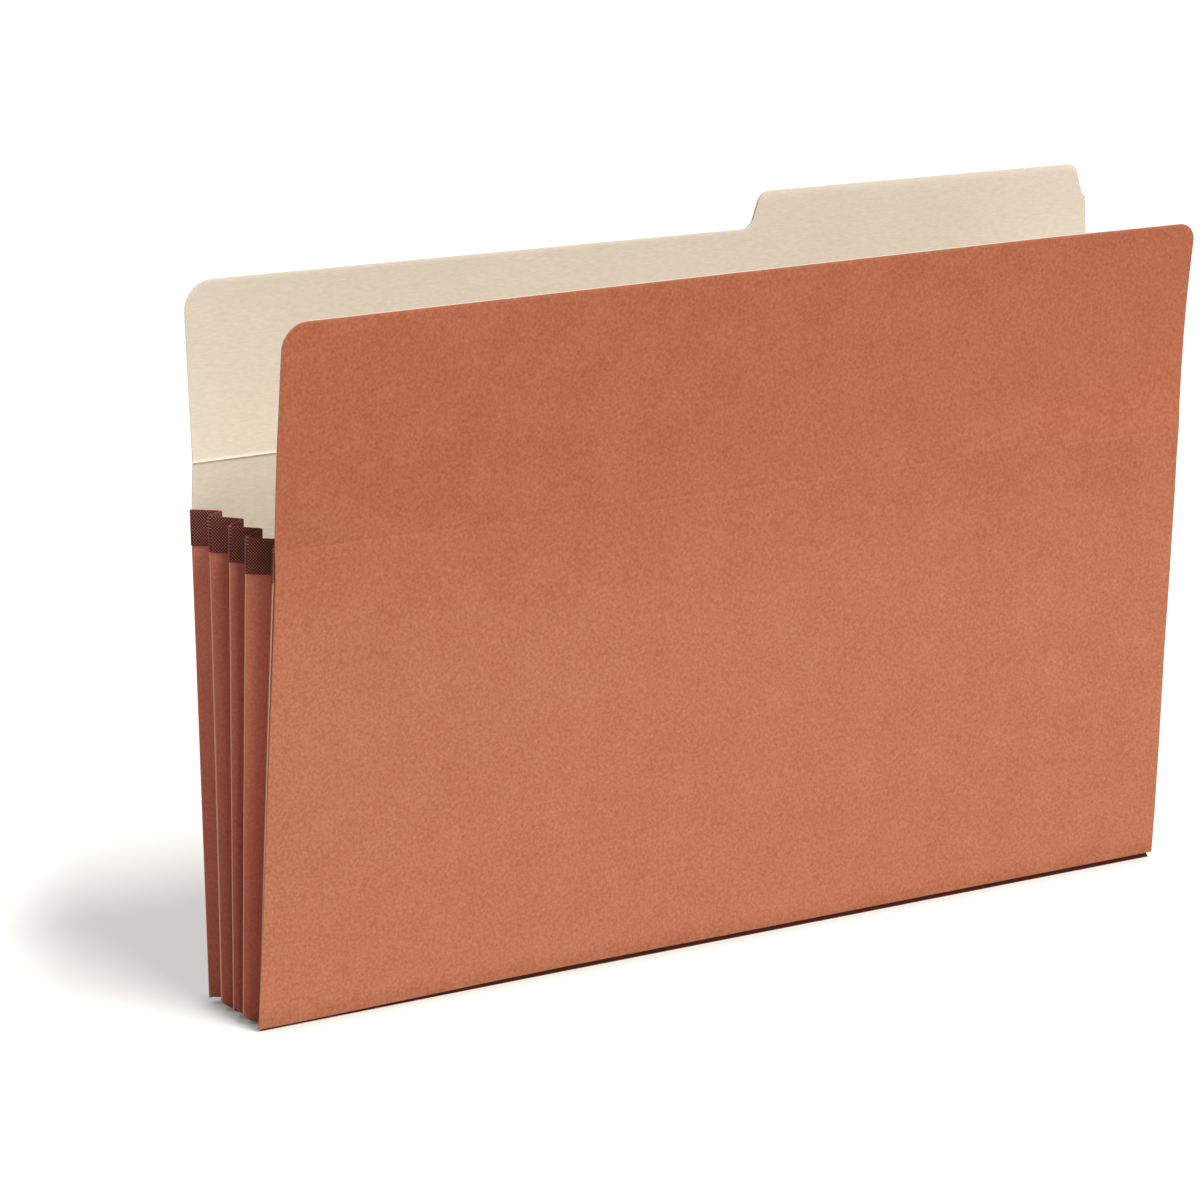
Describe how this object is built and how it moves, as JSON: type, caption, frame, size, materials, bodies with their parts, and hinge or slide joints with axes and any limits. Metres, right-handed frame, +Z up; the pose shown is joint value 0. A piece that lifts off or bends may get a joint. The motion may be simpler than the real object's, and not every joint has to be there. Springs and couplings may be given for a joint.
{
  "type": "expanding file pocket",
  "caption": "Expanding file pocket: two lined paper panels joined by a pleated gusset at both sides and the bottom, with a tab on the back panel and fold-out tops.",
  "frame": {"origin": "on the floor, at the centre of the bounding box's bottom", "axes": "+X along the panels' width to the right seen from the front, +Y from the front panel to the back panel, +Z up out of the mouth"},
  "size_m": [0.3798, 0.069, 0.2532],
  "materials": {
    "redrope_paper": "matte",
    "gusset_paper": "matte",
    "manila": "matte",
    "tape": "matte"
  },
  "bodies": {
    "back": {"back_face": "redrope_paper", "back_lining": "manila"},
    "back_flap": {"back_flap_face": "redrope_paper", "back_flap_lining": "manila"},
    "bottom_pleat_1": {"bottom_pleat_1": "gusset_paper"},
    "bottom_pleat_2": {"bottom_pleat_2": "gusset_paper"},
    "bottom_pleat_3": {"bottom_pleat_3": "gusset_paper"},
    "bottom_pleat_4": {"bottom_pleat_4": "gusset_paper"},
    "bottom_pleat_5": {"bottom_pleat_5": "gusset_paper"},
    "bottom_pleat_6": {"bottom_pleat_6": "gusset_paper"},
    "bottom_pleat_7": {"bottom_pleat_7": "gusset_paper"},
    "bottom_pleat_8": {"bottom_pleat_8": "gusset_paper"},
    "front": {"front_face": "redrope_paper", "front_lining": "manila"},
    "front_flap": {"front_flap_face": "redrope_paper", "front_flap_lining": "manila"},
    "left_pleat_1": {"left_pleat_1": "gusset_paper", "left_tape_1": "tape"},
    "left_pleat_2": {"left_pleat_2": "gusset_paper", "left_tape_2": "tape"},
    "left_pleat_3": {"left_pleat_3": "gusset_paper", "left_tape_3": "tape"},
    "left_pleat_4": {"left_pleat_4": "gusset_paper", "left_tape_4": "tape"},
    "left_pleat_5": {"left_pleat_5": "gusset_paper", "left_tape_5": "tape"},
    "left_pleat_6": {"left_pleat_6": "gusset_paper", "left_tape_6": "tape"},
    "left_pleat_7": {"left_pleat_7": "gusset_paper", "left_tape_7": "tape"},
    "left_pleat_8": {"left_pleat_8": "gusset_paper", "left_tape_8": "tape"},
    "right_pleat_1": {"right_pleat_1": "gusset_paper", "right_tape_1": "tape"},
    "right_pleat_2": {"right_pleat_2": "gusset_paper", "right_tape_2": "tape"},
    "right_pleat_3": {"right_pleat_3": "gusset_paper", "right_tape_3": "tape"},
    "right_pleat_4": {"right_pleat_4": "gusset_paper", "right_tape_4": "tape"},
    "right_pleat_5": {"right_pleat_5": "gusset_paper", "right_tape_5": "tape"},
    "right_pleat_6": {"right_pleat_6": "gusset_paper", "right_tape_6": "tape"},
    "right_pleat_7": {"right_pleat_7": "gusset_paper", "right_tape_7": "tape"},
    "right_pleat_8": {"right_pleat_8": "gusset_paper", "right_tape_8": "tape"}
  },
  "joints": [
    {"name": "front_swing", "type": "hinge", "parent": "back", "child": "front", "pos_m": [0, 0.00995, -0.3072], "axis": [1, 0, 0], "range_deg": [-5.2, 1.5]},
    {"name": "back_flap_fold", "type": "hinge", "parent": "back", "child": "back_flap", "pos_m": [0, 0.02986, 0.18336], "axis": [-1, 0, 0], "range_deg": [0, 170]},
    {"name": "front_flap_fold", "type": "hinge", "parent": "front", "child": "front_flap", "pos_m": [0, -0.02651, 0.16334], "axis": [1, 0, 0], "range_deg": [0, 170]},
    {"name": "left_fold_1", "type": "hinge", "parent": "back", "child": "left_pleat_1", "pos_m": [-0.18702, 0.02497, 0.08379], "axis": [0, 0.0384, 0.9993], "range_deg": [-13.56, 45.81]},
    {"name": "left_fold_2", "type": "hinge", "parent": "left_pleat_1", "child": "left_pleat_2", "pos_m": [-0.18176, 0.01828, 0.08395], "axis": [0.0135, 0.0213, 0.9997], "range_deg": [-84.7, 24.77]},
    {"name": "left_fold_3", "type": "hinge", "parent": "left_pleat_2", "child": "left_pleat_3", "pos_m": [-0.18774, 0.01222, 0.08407], "axis": [-0.0018, 0.0058, 1], "range_deg": [-22.92, 78.28]},
    {"name": "left_fold_4", "type": "hinge", "parent": "left_pleat_3", "child": "left_pleat_4", "pos_m": [-0.18176, 0.00616, 0.08402], "axis": [0.0135, -0.0097, 0.9999], "range_deg": [-71.06, 20.84]},
    {"name": "left_fold_5", "type": "hinge", "parent": "left_pleat_4", "child": "left_pleat_5", "pos_m": [-0.18845, 0.00091, 0.08397], "axis": [-0.0037, -0.0231, 0.9997], "range_deg": [-18.76, 63.83]},
    {"name": "left_fold_8", "type": "hinge", "parent": "front", "child": "left_pleat_8", "pos_m": [-0.18702, -0.01939, 0.08298], "axis": [0, -0.075, 0.9972], "range_deg": [-45.81, 13.56]},
    {"name": "left_fold_7", "type": "hinge", "parent": "left_pleat_8", "child": "left_pleat_7", "pos_m": [-0.18176, -0.01272, 0.08338], "axis": [0.0135, -0.0579, 0.9982], "range_deg": [-20.2, 68.82]},
    {"name": "left_fold_6", "type": "hinge", "parent": "left_pleat_7", "child": "left_pleat_6", "pos_m": [-0.18917, -0.00853, 0.08363], "axis": [-0.0055, -0.0472, 0.9989], "range_deg": [-46.52, 13.77]},
    {"name": "right_fold_1", "type": "hinge", "parent": "back", "child": "right_pleat_1", "pos_m": [0.18702, 0.02497, 0.08379], "axis": [0, 0.0384, 0.9993], "range_deg": [-45.81, 13.56]},
    {"name": "right_fold_2", "type": "hinge", "parent": "right_pleat_1", "child": "right_pleat_2", "pos_m": [0.18176, 0.01828, 0.08395], "axis": [-0.0135, 0.0213, 0.9997], "range_deg": [-24.77, 84.7]},
    {"name": "right_fold_3", "type": "hinge", "parent": "right_pleat_2", "child": "right_pleat_3", "pos_m": [0.18774, 0.01222, 0.08407], "axis": [0.0018, 0.0058, 1], "range_deg": [-78.28, 22.92]},
    {"name": "right_fold_4", "type": "hinge", "parent": "right_pleat_3", "child": "right_pleat_4", "pos_m": [0.18176, 0.00616, 0.08402], "axis": [-0.0135, -0.0097, 0.9999], "range_deg": [-20.84, 71.06]},
    {"name": "right_fold_5", "type": "hinge", "parent": "right_pleat_4", "child": "right_pleat_5", "pos_m": [0.18845, 0.00091, 0.08397], "axis": [0.0037, -0.0231, 0.9997], "range_deg": [-63.83, 18.76]},
    {"name": "right_fold_8", "type": "hinge", "parent": "front", "child": "right_pleat_8", "pos_m": [0.18702, -0.01939, 0.08298], "axis": [0, -0.075, 0.9972], "range_deg": [-13.56, 45.81]},
    {"name": "right_fold_7", "type": "hinge", "parent": "right_pleat_8", "child": "right_pleat_7", "pos_m": [0.18176, -0.01272, 0.08338], "axis": [-0.0135, -0.0579, 0.9982], "range_deg": [-68.82, 20.2]},
    {"name": "right_fold_6", "type": "hinge", "parent": "right_pleat_7", "child": "right_pleat_6", "pos_m": [0.18917, -0.00853, 0.08363], "axis": [0.0055, -0.0472, 0.9989], "range_deg": [-13.77, 46.52]},
    {"name": "bottom_fold_1", "type": "hinge", "parent": "back", "child": "bottom_pleat_1", "pos_m": [0, 0.02177, 0.0006], "axis": [1, 0, 0], "range_deg": [-43.29, 12.84]},
    {"name": "bottom_fold_2", "type": "hinge", "parent": "bottom_pleat_1", "child": "bottom_pleat_2", "pos_m": [0, 0.01685, 0.00515], "axis": [1, 0, 0], "range_deg": [-24.71, 84.49]},
    {"name": "bottom_fold_3", "type": "hinge", "parent": "bottom_pleat_2", "child": "bottom_pleat_3", "pos_m": [0, 0.01174, 0.00082], "axis": [1, 0, 0], "range_deg": [-79.15, 23.18]},
    {"name": "bottom_fold_4", "type": "hinge", "parent": "bottom_pleat_3", "child": "bottom_pleat_4", "pos_m": [0, 0.00724, 0.00579], "axis": [1, 0, 0], "range_deg": [-20.78, 70.85]},
    {"name": "bottom_fold_5", "type": "hinge", "parent": "bottom_pleat_4", "child": "bottom_pleat_5", "pos_m": [0, 0.00283, 0.00074], "axis": [1, 0, 0], "range_deg": [-64.14, 18.85]},
    {"name": "bottom_fold_8", "type": "hinge", "parent": "front", "child": "bottom_pleat_8", "pos_m": [0, -0.01315, -0.00004], "axis": [1, 0, 0], "range_deg": [-10.27, 34.39]},
    {"name": "bottom_fold_7", "type": "hinge", "parent": "bottom_pleat_8", "child": "bottom_pleat_7", "pos_m": [0, -0.00919, 0.00537], "axis": [1, 0, 0], "range_deg": [-66.98, 19.66]},
    {"name": "bottom_fold_6", "type": "hinge", "parent": "bottom_pleat_7", "child": "bottom_pleat_6", "pos_m": [0, -0.0046, 0.00048], "axis": [1, 0, 0], "range_deg": [-18.28, 62.17]}
  ],
  "couplings": [
    {"joint": "left_fold_1", "follows": "front_swing", "ratio": -8.7075},
    {"joint": "left_fold_2", "follows": "front_swing", "ratio": 16.183},
    {"joint": "left_fold_3", "follows": "front_swing", "ratio": -14.948},
    {"joint": "left_fold_4", "follows": "front_swing", "ratio": 13.561},
    {"joint": "left_fold_5", "follows": "front_swing", "ratio": -12.171},
    {"joint": "left_fold_8", "follows": "front_swing", "ratio": 8.7075},
    {"joint": "left_fold_7", "follows": "front_swing", "ratio": -13.131},
    {"joint": "left_fold_6", "follows": "front_swing", "ratio": 8.8452},
    {"joint": "right_fold_1", "follows": "front_swing", "ratio": 8.7075},
    {"joint": "right_fold_2", "follows": "front_swing", "ratio": -16.183},
    {"joint": "right_fold_3", "follows": "front_swing", "ratio": 14.948},
    {"joint": "right_fold_4", "follows": "front_swing", "ratio": -13.561},
    {"joint": "right_fold_5", "follows": "front_swing", "ratio": 12.171},
    {"joint": "right_fold_8", "follows": "front_swing", "ratio": -8.7075},
    {"joint": "right_fold_7", "follows": "front_swing", "ratio": 13.131},
    {"joint": "right_fold_6", "follows": "front_swing", "ratio": -8.8452},
    {"joint": "bottom_fold_1", "follows": "front_swing", "ratio": 8.2239},
    {"joint": "bottom_fold_2", "follows": "front_swing", "ratio": -16.143},
    {"joint": "bottom_fold_3", "follows": "front_swing", "ratio": 15.116},
    {"joint": "bottom_fold_4", "follows": "front_swing", "ratio": -13.521},
    {"joint": "bottom_fold_5", "follows": "front_swing", "ratio": 12.231},
    {"joint": "bottom_fold_8", "follows": "front_swing", "ratio": -6.5142},
    {"joint": "bottom_fold_7", "follows": "front_swing", "ratio": 12.776},
    {"joint": "bottom_fold_6", "follows": "front_swing", "ratio": -11.853}
  ]
}
